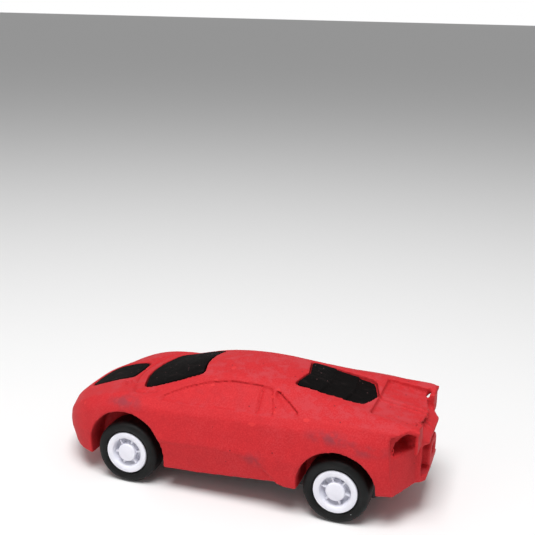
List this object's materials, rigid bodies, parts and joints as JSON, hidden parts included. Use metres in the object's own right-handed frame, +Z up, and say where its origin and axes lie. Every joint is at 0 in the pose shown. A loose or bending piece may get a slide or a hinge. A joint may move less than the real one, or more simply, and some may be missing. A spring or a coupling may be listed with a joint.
{
  "type": "toy car",
  "caption": "Small pull back sports car with a moulded rubber body, black inserts and white rims over a spring motor.",
  "frame": {"origin": "bottom centre of the bounding box: midway along and across the car, at the level the tyres stand on", "axes": "+X forward, +Y to the car's left, +Z up"},
  "size_m": [0.089, 0.0358, 0.0285],
  "materials": {
    "body_rubber": "matte moulded eraser rubber, red",
    "insert_rubber": "matte moulded rubber, black",
    "tyre_rubber": "satin slick rubber, black",
    "rim_plastic": "semi gloss white",
    "tray_plastic": "black",
    "housing_plastic": "grey",
    "gear_plastic": "natural acetal",
    "steel": "drawn wire",
    "spring_steel": "blued strip"
  },
  "bodies": {
    "car": {"body_shell": "body_rubber", "hood_insert": "insert_rubber", "windscreen_insert": "insert_rubber", "engine_cover": "insert_rubber", "chassis_tray": "tray_plastic", "motor_case": "housing_plastic", "motor_cover": "housing_plastic", "mainspring": "spring_steel", "clutch_gear_pin": "steel", "idler_gear_pin": "steel", "motor_front_screw": "steel", "motor_rear_screw": "steel"},
    "rear_wheels": {"rear_axle": "steel", "axle_pinion": "gear_plastic", "rear_left_rim": "rim_plastic", "rear_right_rim": "rim_plastic", "rear_left_tyre": "tyre_rubber", "rear_right_tyre": "tyre_rubber"},
    "front_wheels": {"front_axle": "steel", "front_left_rim": "rim_plastic", "front_right_rim": "rim_plastic", "front_left_tyre": "tyre_rubber", "front_right_tyre": "tyre_rubber"},
    "clutch_gear": {"clutch_gear": "gear_plastic"},
    "idler_gear": {"idler_gear": "gear_plastic"},
    "spring_gear": {"spring_gear": "gear_plastic"}
  },
  "joints": [
    {"name": "rear_axle_spin", "type": "hinge", "parent": "car", "child": "rear_wheels", "pos_m": [-0.0267, 0, 0.0075], "axis": [0, 1, 0], "continuous": true},
    {"name": "front_axle_spin", "type": "hinge", "parent": "car", "child": "front_wheels", "pos_m": [0.0233, 0, 0.0075], "axis": [0, 1, 0], "continuous": true},
    {"name": "clutch_gear_spin", "type": "hinge", "parent": "car", "child": "clutch_gear", "pos_m": [-0.02371, 0, 0.01226], "axis": [0, 1, 0], "continuous": true},
    {"name": "idler_gear_spin", "type": "hinge", "parent": "car", "child": "idler_gear", "pos_m": [-0.01842, 0, 0.01033], "axis": [0, 1, 0], "continuous": true},
    {"name": "spring_gear_spin", "type": "hinge", "parent": "car", "child": "spring_gear", "pos_m": [-0.0113, 0, 0.01033], "axis": [0, 1, 0], "continuous": true}
  ],
  "couplings": [
    {"joint": "clutch_gear_spin", "follows": "rear_axle_spin", "ratio": -0.57143},
    {"joint": "idler_gear_spin", "follows": "rear_axle_spin", "ratio": 0.32653},
    {"joint": "spring_gear_spin", "follows": "rear_axle_spin", "ratio": -0.13061}
  ]
}
